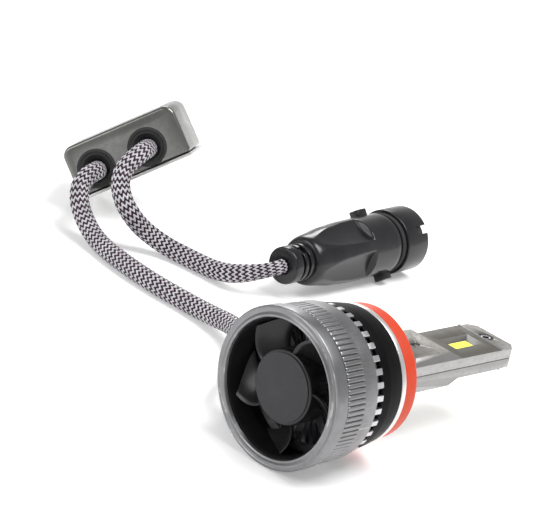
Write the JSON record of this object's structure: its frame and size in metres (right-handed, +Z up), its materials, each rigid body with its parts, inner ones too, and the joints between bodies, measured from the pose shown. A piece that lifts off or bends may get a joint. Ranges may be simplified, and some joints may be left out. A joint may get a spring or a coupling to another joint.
{
  "type": "headlight bulb",
  "caption": "LED headlight bulb: flat two-sided stem, sealed mounting collar and fan-cooled heat sink, with an in-line driver box and round plug on braided cords.",
  "frame": {"origin": "on the bulb's axis, at the front face of the mounting flange, where the bulb seats in the lamp", "axes": "+X along the bulb's axis towards the tip of the stem, +Z up, out of the upper light window; the bulb, driver box and plug lie on the plane z = -20 mm"},
  "size_m": [0.1359, 0.1792, 0.04],
  "materials": {
    "housing": "satin anodised grey aluminium with fine turning marks",
    "fins": "bare aluminium, lightly brushed",
    "collar": "black anodised collar, satin",
    "flange": "turned bare aluminium, satin",
    "seal": "orange-red silicone rubber",
    "stem": "anodised aluminium with a warm grey top face",
    "copper": "bare copper plate",
    "emitter": "yellow phosphor on a white carrier",
    "wire": "black insulated wire",
    "screw": "dark zinc-plated steel",
    "fan_plastic": "black moulded plastic",
    "hub_disc": "dark grey printed-foil disc, blank",
    "magnet": "bonded ferrite",
    "steel": "ground steel",
    "bronze": "sintered bronze",
    "laminate": "stacked steel laminations",
    "winding": "enamelled copper wire",
    "board": "green solder mask",
    "rubber_black": "black rubber",
    "box_metal": "die-cast aluminium, satin grey",
    "ferrite": "sintered ferrite with copper turns",
    "capacitor": "dark sleeve on an aluminium can",
    "chip": "moulded epoxy package",
    "braid": "black and silver-white braided sleeve",
    "plug_plastic": "black moulded nylon, semi-gloss",
    "pin": "gold-flashed contact"
  },
  "bodies": {
    "root": {"rear_ring": "housing", "barrel": "housing", "heat_sink": "fins", "collar": "collar", "mount_flange": "flange", "seal_ring": "seal", "stem_top": "stem", "stem_bottom": "stem", "core_plate": "copper", "led_top": "emitter", "led_bottom": "emitter", "led_wires": "wire", "tip_screws": "screw", "root_screws": "screw", "fan_bracket": "fan_plastic", "fan_bearing": "bronze", "stator_core": "laminate", "stator_coils": "winding", "fan_board": "board", "fan_screws": "screw", "bulb_gland": "rubber_black", "bulb_cord": "braid", "driver_case": "box_metal", "driver_base": "box_metal", "bulb_grommet": "rubber_black", "plug_grommet": "rubber_black", "driver_board": "board", "driver_choke": "ferrite", "driver_capacitors": "capacitor", "driver_chips": "chip", "base_screws": "screw", "plug_cord": "braid", "plug_boot": "plug_plastic", "plug_body": "plug_plastic", "plug_shell": "plug_plastic", "plug_seal": "rubber_black", "plug_insert": "plug_plastic", "plug_pins": "pin"},
    "fan": {"fan_rotor": "fan_plastic", "hub_cap": "hub_disc", "rotor_magnet": "magnet", "fan_shaft": "steel"}
  },
  "joints": [
    {"name": "fan_spin", "type": "hinge", "parent": "root", "child": "fan", "pos_m": [-0.02, 0, 0], "axis": [1, 0, 0], "continuous": true}
  ]
}
